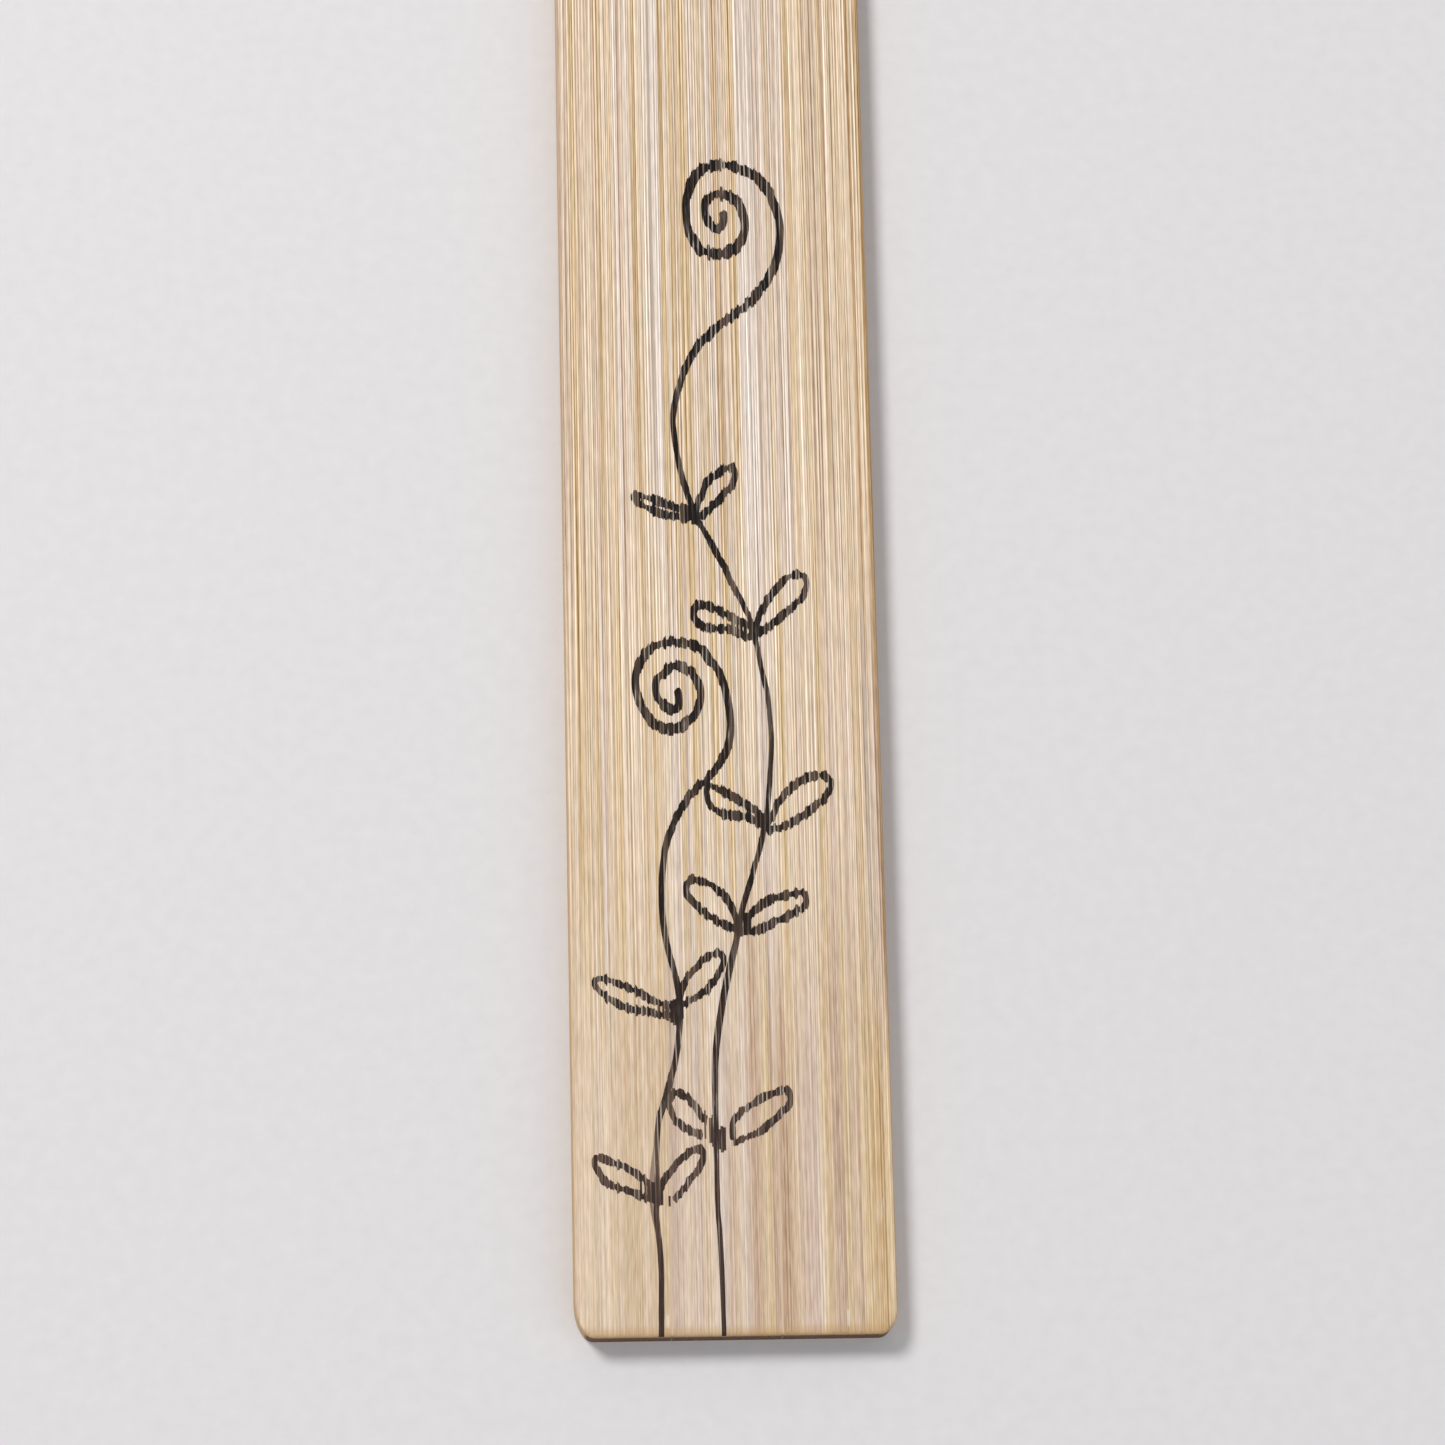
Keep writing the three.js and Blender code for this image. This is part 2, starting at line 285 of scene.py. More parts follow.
# tone by X across each strip, at three places along the slat
fibreProfiles = {
    "left": {
        "upper": [
            (-12.5, "pale"), (-12.28, "brown"), (-12.05, "light"), (-11.82, "clay"), (-11.65, "cream"),
            (-11.45, "gold"), (-11.22, "gold"), (-11.08, "amber"), (-10.95, "tan"), (-10.8, "clay"),
            (-10.6, "cream"), (-9.98, "tan"), (-9.78, "light"), (-9.6, "clay"), (-9.47, "clay"),
            (-9.3, "amber"), (-9.18, "gold"), (-9.0, "tan"), (-8.86, "cream"), (-8.6, "oat"),
            (-8.4, "cream"), (-8.26, "gold"), (-8.1, "oat"), (-7.85, "white"), (-7.6, "rose"),
            (-7.42, "clay"), (-7.25, "oat"), (-6.85, "pale"), (-6.45, "tan"), (-6.28, "gold"),
            (-5.95, "cream"), (-5.0, "pale")],
        "middle": [
            (-12.5, "tan"), (-12.35, "cream"), (-12.1, "tan"), (-11.7, "light"), (-11.45, "gold"),
            (-11.28, "gold"), (-11.18, "amber"), (-11.0, "tan"), (-10.78, "sand"), (-10.6, "tan"),
            (-10.2, "tan"), (-10.05, "sand"), (-9.85, "sand"), (-9.7, "rose"), (-9.55, "pale"),
            (-9.35, "rose"), (-9.2, "tan"), (-8.85, "light"), (-8.7, "tan"), (-8.42, "amber"),
            (-8.25, "sand"), (-8.0, "cream"), (-7.85, "light"), (-7.65, "oat"), (-7.5, "tan"),
            (-7.3, "cream"), (-6.75, "light"), (-6.3, "oat"), (-6.15, "sand"), (-5.85, "pale"),
            (-5.5, "sand"), (-5.0, "cream")],
        "lower": [
            (-12.5, "tan"), (-12.0, "oat"), (-11.7, "cream"), (-11.2, "cream"), (-10.8, "olive"),
            (-10.3, "oat"), (-9.75, "cream"), (-9.3, "olive"), (-8.8, "oat"), (-8.3, "tan"),
            (-7.3, "tan"), (-6.8, "oat"), (-6.2, "tan"), (-5.0, "tan")],
    },
    "middle": {
        "upper": [
            (-5.0, "pale"), (-4.3, "pale"), (-4.12, "gold"), (-3.85, "gold"), (-3.68, "white"),
            (-3.5, "tan"), (-3.3, "gold"), (-3.15, "gold"), (-2.98, "cream"), (-2.85, "brown"),
            (-2.7, "cream"), (-2.55, "gold"), (-2.35, "gold"), (-2.25, "amber"), (-2.08, "gold"),
            (-1.9, "tan"), (-1.7, "white"), (-1.52, "rose"), (-1.2, "cream"), (-1.0, "olive"),
            (-0.6, "olive"), (-0.2, "pale"), (0.1, "rose"), (0.3, "gold"), (0.5, "gold"),
            (0.65, "rose"), (0.95, "oat"), (1.3, "oat"), (1.7, "gold"), (1.85, "sand"),
            (2.1, "pale"), (3.55, "pale")],
        "middle": [
            (-5.0, "cream"), (-4.6, "cream"), (-3.95, "pale"), (-3.8, "rose"), (-3.5, "pale"),
            (-3.3, "sand"), (-3.1, "sand"), (-2.95, "rose"), (-2.7, "pale"), (-2.5, "sand"),
            (-2.1, "sand"), (-1.85, "tan"), (-1.6, "pale"), (-1.4, "cream"), (-1.15, "cream"),
            (-1.0, "pale"), (-0.8, "sand"), (-0.5, "sand"), (-0.3, "cream"), (0.0, "pale"),
            (0.3, "sand"), (0.6, "sand"), (0.9, "pale"), (1.5, "tan"), (1.75, "cream"),
            (2.2, "cream"), (2.6, "tan"), (2.9, "pale"), (3.1, "rose"), (3.55, "pale")],
        "lower": [
            (-5.0, "rose"), (-4.4, "rose"), (-3.6, "oat"), (-2.7, "rose"), (-2.2, "tan"),
            (-1.6, "oat"), (-0.9, "pale"), (-0.3, "rose"), (0.3, "oat"), (0.8, "pale"),
            (1.3, "rose"), (1.8, "clay"), (2.3, "tan"), (2.8, "sand"), (3.2, "clay"),
            (3.55, "clay")],
    },
    "right": {
        "upper": [
            (3.55, "cream"), (3.8, "rose"), (4.15, "pale"), (4.6, "tan"), (5.0, "pale"),
            (5.25, "rose"), (5.4, "pale"), (5.85, "pale"), (6.0, "rose"), (6.25, "amber"),
            (6.42, "gold"), (6.6, "cream"), (7.0, "cream"), (7.35, "cream"), (7.52, "gold"),
            (7.7, "cream"), (7.9, "brown"), (8.15, "cream"), (8.42, "brown"), (8.75, "cream"),
            (9.05, "gold"), (9.3, "clay"), (9.55, "cream"), (10.0, "tan"), (10.45, "tan"),
            (11.0, "cream"), (11.3, "tan"), (11.45, "rust"), (11.65, "cream"), (12.05, "tan"),
            (12.18, "gold"), (12.5, "rust")],
        "middle": [
            (3.55, "pale"), (4.3, "cream"), (4.6, "sand"), (4.8, "sand"), (5.15, "white"),
            (5.3, "tan"), (5.6, "cream"), (6.0, "rose"), (6.1, "cream"), (6.4, "tan"),
            (6.65, "cream"), (7.1, "tan"), (7.25, "pale"), (7.5, "sand"), (7.7, "sand"),
            (8.0, "tan"), (8.6, "rose"), (8.78, "cream"), (9.0, "tan"), (9.3, "cream"),
            (9.4, "clay"), (9.7, "cream"), (9.9, "rose"), (10.1, "cream"), (10.4, "tan"),
            (10.62, "gold"), (10.8, "tan"), (11.1, "oat"), (11.42, "grey"), (11.55, "oat"),
            (12.0, "rose"), (12.5, "rust")],
        "lower": [
            (3.55, "clay"), (4.2, "clay"), (4.8, "tan"), (5.5, "rose"), (6.4, "rose"),
            (6.8, "oat"), (7.2, "sand"), (8.0, "clay"), (8.5, "clay"), (8.8, "sand"),
            (9.25, "tan"), (9.75, "clay"), (10.2, "sand"), (10.7, "sand"), (11.2, "gold"),
            (11.8, "gold"), (12.1, "amber"), (12.5, "amber")],
    },
}

bambooLook = {
    "fineStep": (1.02, 1.0, 1.0),     # direction of the fine lines, nearly grey
    "goldStep": (0.42, 0.66, 1.0),    # direction from golden to pale
    # waves per mm across and along, place in the noise, detail
    "grain": {
        "zone": (1.6, 0.01, 3, 0.0),
        "broad": (0.5, 0.008, 11, 0.0),
        "mid": (1.5, 0.018, 23, 0.0),
        "thin": (3.3, 0.022, 37, 0.0),
        "hair": (8.0, 0.035, 41, 0.0),
        "dash": (5.6, 0.55, 53, 1.0),
        "fleck": (6.8, 0.40, 59, 1.0),
        "pore": (6.5, 0.5, 71, 1.0),
    },
    # how far each grain moves the tone
    "broad": 0.12,
    "mid": 0.05,
    "thin": 0.10,
    "hair": 0.58,
    "dash": 0.20,
    "hairGap": 0.08,                  # mm between the two noises whose difference is a hair line
    "quiet": (0.36, 0.010),           # strength of the hair lines low down, and its rise per mm of X
    "crispFrom": (12, 66),            # mm from the square end, as are the next three
    "upperFrom": (52, 70),
    "lowerFrom": (36, 18),
    "fleckEnds": (60, 30),
    "zoneDrift": 26,                  # mm by which single fibres change their tone early or late
    "fleckFrom": (0.58, 0.72),
    "fleckShare": 0.38,
    "chips": [(-5.32, 1.2, 0.62), (8.62, 1.25, 0.8)],   # X, mm from the square end, half length
    "chipHalf": (0.16, 0.06),
    "chipShare": 0.7,
    # golden brown of the sides, the rounded edges and a band along the square end: part wear, part
    # painted shade of edges turned from the light
    "worn": screen(190, 151, 102),
    "endWearAndShade": (1.1, 0.2),            # mm from the square end
    "endWearAndShadeShare": 0.5,
    "edgeFrom": (0.975, 0.80),        # share of the way from the middle to a face, as is the next
    "endFrom": (0.90, 0.70),
    "edgeWearAndShadeShare": 0.75,
    "squareGrain": (0.45, 0.15),      # mm from the square end
    "tipGrain": (5, 1),               # mm from the tip
    "poreFrom": (0.46, 0.62),
    # end grain and its pores, darkened as painted shade of the end faces, which turn away from the light
    "shadedEndGrain": screen(110, 77, 49),
    "pore": screen(58, 37, 23),
    "roughness": 0.52,
    "sheen": 0.3,
    "reliefDepth": 0.012,             # mm
}


def nearEnds(y):
    # 1 on the square end and round the tip, 0 between them
    square = (y - squareEnd).step(*bambooLook["squareGrain"])
    return square + y.step(*(tipEnd - d for d in bambooLook["tipGrain"]))


def bambooPaint(name, seed, rows):
    look = bambooLook
    p = Paint(name)
    spot = x, y, z = p.place()
    along = y - squareEnd
    grain = {key: p.fibre(spot, row, seed) for key, row in look["grain"].items()}
    broad, mid, thin, dash = (grain[key] - 0.5 for key in ("broad", "mid", "thin", "dash"))
    hair = grain["hair"] - p.fibre((x + look["hairGap"], y, z), look["grain"]["hair"], seed)
    quiet = look["quiet"][0] + look["quiet"][1] * x
    crisp = quiet + (1 - quiet) * along.step(*look["crispFrom"])
    # the long fibres, each of which changes its tone at its own place
    ragged = along + look["zoneDrift"] * (grain["zone"] - 0.5)
    colour = p.profile(x, rows["middle"], fibreTones)
    for part in ("upper", "lower"):
        share = ragged.step(*look[part + "From"])
        colour = p.mix(share, colour, p.profile(x, rows[part], fibreTones))
    colour = p.shift(colour, broad * look["broad"], look["goldStep"])
    colour = p.shift(colour, mid * look["mid"], look["goldStep"])
    colour = p.shift(colour, thin * look["thin"] + hair * look["hair"] * crisp, look["fineStep"])
    colour = p.shift(colour, dash * look["dash"], look["fineStep"])
    fleck = grain["fleck"].step(*look["fleckFrom"]) * along.step(*look["fleckEnds"])
    colour = p.mix(fleck * look["fleckShare"], colour, fibreTones["white"])
    # small chips where a fibre has lifted at the square end
    for chipX, chipY, half in look["chips"]:
        chip = abs(x - chipX).step(*look["chipHalf"]) * abs(along - chipY).step(half, half * 0.6)
        colour = p.mix(chip * look["chipShare"], colour, fibreTones["white"])
    # the sides and rounded edges in golden brown, part sanding wear and part painted shade of edges
    # turned from the light, and the end grain, darkened as painted shade, by how far a point is from
    # both faces
    colour = p.mix(along.step(*look["endWearAndShade"]) * look["endWearAndShadeShare"], colour, look["worn"])
    share = ((y - (tipEnd - slat["thinLength"])) / slat["thinLength"]).clamp()
    halfHere = thickness / 2 - (thickness - slat["tipThickness"]) / 2 * share * share
    level = abs(z - thickness / 2) / halfHere
    edge = level.step(*look["edgeFrom"])
    colour = p.mix(edge * look["edgeWearAndShadeShare"], colour, look["worn"])
    # the cut ends take the darkened end grain, a painted shade
    ends = level.step(*look["endFrom"]) * nearEnds(y)
    shadedCutEnd = p.mix(grain["pore"].step(*look["poreFrom"]), look["shadedEndGrain"], look["pore"])
    colour = p.mix(ends, colour, shadedCutEnd)
    roughness = look["roughness"] + 0.25 * dash - 0.15 * thin + 0.12 * ends
    height = 0.5 + 0.5 * thin + 0.5 * hair + 0.3 * dash
    return p.coat(colour, roughness, look["sheen"], p.bump(height, look["reliefDepth"]))


glueLook = {
    "grain": (0.4, 0.05, 0, 1.0),     # waves per mm across and along, place in the noise, detail
    "patches": (0.40, 0.60),
    "seenFrom": (50, 74),             # mm from the square end: lower down it has the fibres' tone
    "edgeFrom": (1.45, 1.2),          # mm from the middle of the thickness
    "roughness": 0.45,
}


def gluePaint(name, seed):
    look = glueLook
    p = Paint(name)
    spot = x, y, z = p.place()
    patches = p.fibre(spot, look["grain"], seed).step(*look["patches"])
    seen = (y - squareEnd).step(*look["seenFrom"]) * (0.6 + 0.4 * patches)
    colour = p.mix(seen, fibreTones["tan"], fibreTones["grey"])
    edge = abs(z - thickness / 2).step(*look["edgeFrom"])
    # golden brown on the glue's sides and edges, part wear and part painted shade
    colour = p.mix(edge * bambooLook["edgeWearAndShadeShare"], colour, bambooLook["worn"])
    # the glue's ends take the darkened end grain, a painted shade
    colour = p.mix(edge * nearEnds(y), colour, bambooLook["shadedEndGrain"])
    return p.coat(colour, look["roughness"] + 0.1 * seen)


inkLook = {
    "black": screen(24, 21, 22),
    "soft": screen(37, 31, 29),
    "brownBlack": screen(62, 48, 44),
    "gap": screen(130, 109, 92),
    "sliver": screen(184, 172, 158),
    "softFrom": (75, 42),             # mm from the square end, as are the next two
    "brownFrom": (34, 8),
    "startFrom": (13, 3),
    "startFull": 0.8,                 # how far the gaps fill near the square end
    "jointFull": 0.45,                # the same where leaves join a stem
    "jointReach": (0.85, 0.2),        # mm squared
    "jointLong": 0.35,                # how much less a step along the grain counts
    "bundles": 2.7,                   # fibre bundles in a millimetre
    "sway": 1.3,                      # how far the bundles stray, in bundles
    "gapWidth": 0.17,                 # share of a bundle
    "held": (0.55, 0.85),             # bundles that took less ink
    "heldShare": 0.46,
    # waves per mm across and along, place in the noise, detail
    "grain": {
        "sway": (0.7, 0.10, 0, 0.0),
        "worn": (1.1, 0.25, 5, 0.0),
        "fine": (6.5, 0.10, 9, 0.0),
        "dash": (6.5, 0.9, 17, 1.0),
        "light": (1.9, 0.3, 29, 0.0),
    },
    # each patch is where its grain passes from the first value to the second
    "cuts": {"worn": (0.36, 0.52), "fine": (0.54, 0.68), "dash": (0.54, 0.68), "light": (0.44, 0.58)},
    "roughness": 0.6,
    "sheen": 0.12,
    "gapDepth": 0.006,                # mm
}


def inkColour(p, spot, seed, joints):
    # black, cut by narrow lines where a fibre took little ink, and fuller where leaves join the stem
    look = inkLook
    x, y, z = spot
    along = y - squareEnd
    colour = p.mix(along.step(*look["softFrom"]), look["black"], look["soft"])
    colour = p.mix(along.step(*look["brownFrom"]), colour, look["brownBlack"])
    bundle = {"W": x * look["bundles"] + look["sway"] * p.fibre(spot, look["grain"]["sway"], seed),
              "Scale": 1.0}
    line = p.node("ShaderNodeTexVoronoi", {"voronoi_dimensions": "1D", "feature": "DISTANCE_TO_EDGE"},
                  bundle).step(look["gapWidth"], look["gapWidth"] * 0.35)
    held = p.node("ShaderNodeTexVoronoi", {"voronoi_dimensions": "1D", "feature": "F1"}, bundle, "Color")
    held = p.node("ShaderNodeSeparateColor", {}, {0: held}).step(*look["held"])
    worn, fine, dash, light = (p.fibre(spot, look["grain"][key], seed).step(*cut)
                               for key, cut in look["cuts"].items())
    gap = p.mix(light, look["gap"], look["sliver"])
    full = along.step(*look["startFrom"]) * look["startFull"]
    for jointX, jointY in joints:
        across, up = x - jointX, along - jointY
        near = (across * across + up * up * look["jointLong"]).step(*look["jointReach"])
        full = full + near * look["jointFull"]
    free = 1 - full.clamp()
    colour = p.mix(held * free * look["heldShare"], colour, look["gap"])
    thin = (line * worn * 0.85 + fine * 0.30 + dash * 0.20).clamp() * free
    return p.mix(thin, colour, gap), (thin + held * 0.4).clamp()


def inkPaint(name, seed, joints):
    look = inkLook
    p = Paint(name)
    colour, thin = inkColour(p, p.place(), seed, joints)
    relief = p.bump(1 - thin, look["gapDepth"])
    return p.coat(colour, look["roughness"] + 0.1 * thin, look["sheen"], relief)


washLook = {
    "dark": screen(106, 87, 77),
    "light": screen(154, 131, 113),
    "share": (3.0, 0.08, 0, 0.0),     # waves per mm across and along, place in the noise, detail
    "dash": (6.0, 0.6, 7, 1.0),
    "shareFrom": (0.38, 0.62),
    "roughness": 0.55,
    "sheen": 0.2,
}


def washPaint(name, seed):
    # ink that has soaked thinly into the fibres beside a stroke
    look = washLook
    p = Paint(name)
    spot = p.place()
    share = p.fibre(spot, look["share"], seed).step(*look["shareFrom"])
    dash = p.fibre(spot, look["dash"], seed)
    colour = p.mix((share * 0.8 + 0.3 * dash).clamp(), look["dark"], look["light"])
    return p.coat(colour, look["roughness"] + 0.1 * share, look["sheen"])


floorLook = {
    "dark": screen(220, 219, 220),
    "light": screen(230, 229, 230),
    "speck": (0.8, 0.8, 3.0, 3.0),    # waves per mm across and along, place in the noise, detail
    "roughness": 0.75,
    "half": 3000,                     # mm
}


def floorPaint():
    look = floorLook
    p = Paint("floorPaint")
    speck = p.fibre(p.place(), look["speck"], 0)
    colour = p.mix(speck, look["dark"], look["light"])
    return p.coat(colour, look["roughness"] + 0.1 * speck)


def addPiece(name, bm, material, smoothUnder=35):
    bmesh.ops.recalc_face_normals(bm, faces=bm.faces)
    for edge in bm.edges:
        edge.smooth = len(edge.link_faces) == 2 and edge.calc_face_angle(3) < math.radians(smoothUnder)
    for face in bm.faces:
        face.smooth = True
    bmesh.ops.scale(bm, verts=bm.verts, vec=(mm, mm, mm))
    mesh = bpy.data.meshes.new(name)
    bm.to_mesh(mesh)
    bm.free()
    mesh.materials.append(material)
    piece = bpy.data.objects.new(name, mesh)
    bpy.context.scene.collection.objects.link(piece)
    return piece


def grainNoise(x, y, grain):
    # noise drawn out along Y: waves per mm across and along, place in the noise
    across, along, place = grain
    return noise.noise(Vector((x * across, y * along, place)))


def fibreSwell(x, y):
    # how far the softer tissue lies under the fibres, 0 to 1
    coarse = grainNoise(x, y, slat["coarseGrain"])
    fine = grainNoise(x, y, slat["fineGrain"])
    return min(1.0, max(0.0, 0.5 + 0.5 * coarse + 0.35 * fine))


slat = {
    "edgeRound": 0.4,
    "leftCorner": (1.5, 3.0),         # across, along
    "rightCorner": (1.4, 2.1),
    "tipLength": 34.0,
    "noseRadius": 4.5,
    "noseSpread": 0.35,               # radians
    "sideSweep": 13.0,                # mm of handle where the sides turn in
    "noseLead": 11.0,                 # and where they meet the nose
    "straight": 1.0,                  # and on the straight runs
    "curveSteps": 14,
    "bevelSteps": 4,
    "weld": 0.002,
    "thinLength": 30.0,
    "tipThickness": 1.0,
    "columnStep": 0.2,                # mm between the fibre lines that the faces are cut on
    "rowStep": 3.0,
    "tipRowStep": 1.5,
    "keepOff": 0.02,                  # mm from a strip's sides without a cut
    "reliefDepth": 0.02,
    "flatBand": 0.02,                 # mm under a face that still moves with it
    "coarseGrain": (1.3, 0.012, 4.2),   # waves per mm across and along, place in the noise
    "fineGrain": (2.9, 0.02, 9.7),
    "handWobble": 0.04,               # mm by which the sides wander inwards
    "wobbleReach": 2.0,
    "wobbleGrain": (1.0, 0.11, 2.0),
    "wobbleSides": (7.1, 0.3),        # place in the noise, left and right
    "clear": 0.003,                   # kept inside the solid's two ends
}


def slatOutline():
    # the closed flat curve of the slat, as knots between two handles
    s = slat
    round90 = 0.5523                  # handle of a quarter circle, as a share of its radius
    away = s["straight"]
    la, ll = s["leftCorner"]
    ra, rl = s["rightCorner"]
    w, base, top = halfWidth, squareEnd + s["clear"], tipEnd - s["clear"]
    shoulder, noseY = top - s["tipLength"], top - s["noseRadius"]
    spread, r = s["noseSpread"], s["noseRadius"]
    meet = Vector((r * math.cos(spread), noseY + r * math.sin(spread)))
    inward = Vector((-math.sin(spread), math.cos(spread)))
    lead = meet - inward * s["noseLead"]
    arm = 4 / 3 * math.tan((math.pi / 2 - spread) / 4) * r
    onArc = meet + inward * arm
    flip = Vector((-1, 1))
    return [
        ((-w + la - la * round90, base), (-w + la, base), (-w + la + away, base)),
        ((w - ra - away, base), (w - ra, base), (w - ra + ra * round90, base)),
        ((w, base + rl - rl * round90), (w, base + rl), (w, base + rl + away)),
        ((w, shoulder - away), (w, shoulder), (w, shoulder + s["sideSweep"])),
        (lead, meet, onArc),
        ((arm, top), (0, top), (-arm, top)),
        (onArc * flip, meet * flip, lead * flip),
        ((-w, shoulder + s["sideSweep"]), (-w, shoulder), (-w, shoulder - away)),
        ((-w, base + ll + away), (-w, base + ll), (-w, base + ll - ll * round90)),
    ]


def slatMesh():
    # the flat curve gets its thickness and rounded edges from the curve's own bevel
    s = slat
    knots = slatOutline()
    curve = bpy.data.curves.new("slatOutline", "CURVE")
    curve.dimensions = "2D"
    curve.fill_mode = "BOTH"
    curve.resolution_u = s["curveSteps"]
    curve.extrude = thickness / 2 - s["edgeRound"]
    curve.bevel_depth = s["edgeRound"]
    curve.bevel_resolution = s["bevelSteps"]
    curve.offset = -s["edgeRound"]
    spline = curve.splines.new("BEZIER")
    spline.bezier_points.add(len(knots) - 1)
    spline.use_cyclic_u = True
    for knot, (left, middle, right) in zip(spline.bezier_points, knots):
        knot.handle_left_type = knot.handle_right_type = "FREE"
        knot.co = (*middle, 0)
        knot.handle_left = (*left, 0)
        knot.handle_right = (*right, 0)
    holder = bpy.data.objects.new("slatOutline", curve)
    bpy.context.scene.collection.objects.link(holder)
    bpy.context.view_layer.update()
    bm = bmesh.new()
    bm.from_mesh(holder.to_mesh())
    holder.to_mesh_clear()
    bpy.data.objects.remove(holder)
    bmesh.ops.remove_doubles(bm, verts=bm.verts, dist=s["weld"])
    bmesh.ops.translate(bm, verts=bm.verts, vec=(0, 0, thickness / 2))
    for level in (0, thickness):
        flat = [f for f in bm.faces if all(abs(v.co.z - level) < s["weld"] / 2 for v in f.verts)]
        bmesh.ops.dissolve_faces(bm, faces=flat)
    return bm


def cutAcross(bm, normal, places):
    # flat cuts, square to a direction
    for place in places:
        bmesh.ops.bisect_plane(bm, geom=bm.verts[:] + bm.edges[:] + bm.faces[:], dist=0.0005,
                               plane_co=Vector(normal) * place, plane_no=normal)


def cutLattice(bm, low, high):
    # lines for the relief to bend on: along the fibres, and across them where the tip thins
    s = slat
    start = tipEnd - s["thinLength"]
    columns = int(2 * halfWidth / s["columnStep"])
    lines = [-halfWidth + (i + 0.5) * s["columnStep"] for i in range(columns)]
    cutAcross(bm, (1, 0, 0), [x for x in lines if low + s["keepOff"] < x < high - s["keepOff"]])
    rows = [squareEnd + s["rowStep"] * i for i in range(1, int((start - squareEnd) / s["rowStep"]))]
    rows += [start + s["tipRowStep"] * i for i in range(int(s["thinLength"] / s["tipRowStep"]))]
    cutAcross(bm, (0, 1, 0), rows)


def thinAndWear(bm):
    # the tip thins from both faces, the soft tissue sinks between the fibres, the sides wander a little
    s = slat
    drop = (thickness - s["tipThickness"]) / 2
    start = tipEnd - s["thinLength"]
    for v in bm.verts:
        x, y, z = v.co
        share = max(0.0, (y - start) / s["thinLength"])
        lift = z - thickness / 2
        flatness = max(0.0, min(1.0, (abs(lift) - thickness / 2 + s["flatBand"]) / s["flatBand"]))
        lift -= math.copysign(s["reliefDepth"] * fibreSwell(x, y) * flatness, lift)
        v.co.z = thickness / 2 + lift * (1 - 2 * drop * share * share / thickness)
        near = max(0.0, 1 - (halfWidth - abs(x)) / s["wobbleReach"])
        wander = 0.5 + 0.5 * grainNoise(s["wobbleSides"][x > 0], y, s["wobbleGrain"])
        v.co.x -= math.copysign(s["handWobble"] * near * wander, x)


def takeSlice(bm, low, high):
    part = bm.copy()
    for place, sign in ((low, -1), (high, 1)):
        if abs(place) > halfWidth - 0.001:
            continue
        cut = bmesh.ops.bisect_plane(part, geom=part.verts[:] + part.edges[:] + part.faces[:],
                                     dist=0.0001, plane_co=(place, 0, 0), plane_no=(sign, 0, 0),
                                     clear_outer=True)
        rim = [e for e in cut["geom_cut"] if isinstance(e, bmesh.types.BMEdge)]
        bmesh.ops.edgeloop_fill(part, edges=rim)
    return part


def makeSlat():
    bm = slatMesh()
    table = [
        ("bambooStripLeft", "bamboo_strip_left", "bamboo",
         bambooPaint("bambooLeft", 5.0, fibreProfiles["left"])),
        ("bambooStripMiddle", "bamboo_strip_middle", "bamboo",
         bambooPaint("bambooMiddle", 131.0, fibreProfiles["middle"])),
        ("bambooStripRight", "bamboo_strip_right", "bamboo",
         bambooPaint("bambooRight", 277.0, fibreProfiles["right"])),
        ("glueLineLeft", "glue_line_left", "glue", gluePaint("glueLeft", 17.0)),
        ("glueLineRight", "glue_line_right", "glue", gluePaint("glueRight", 29.0)),
    ]
    for name, node, slot, material in table:
        low, high = (corner.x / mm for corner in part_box(node))
        part = takeSlice(bm, low, high)
        cutLattice(part, low, high)
        thinAndWear(part)
        piece = addPiece(name, part, material)
        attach(piece, "root")
        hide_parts(node)
        print(name, len(piece.data.polygons), "faces")
    bm.free()


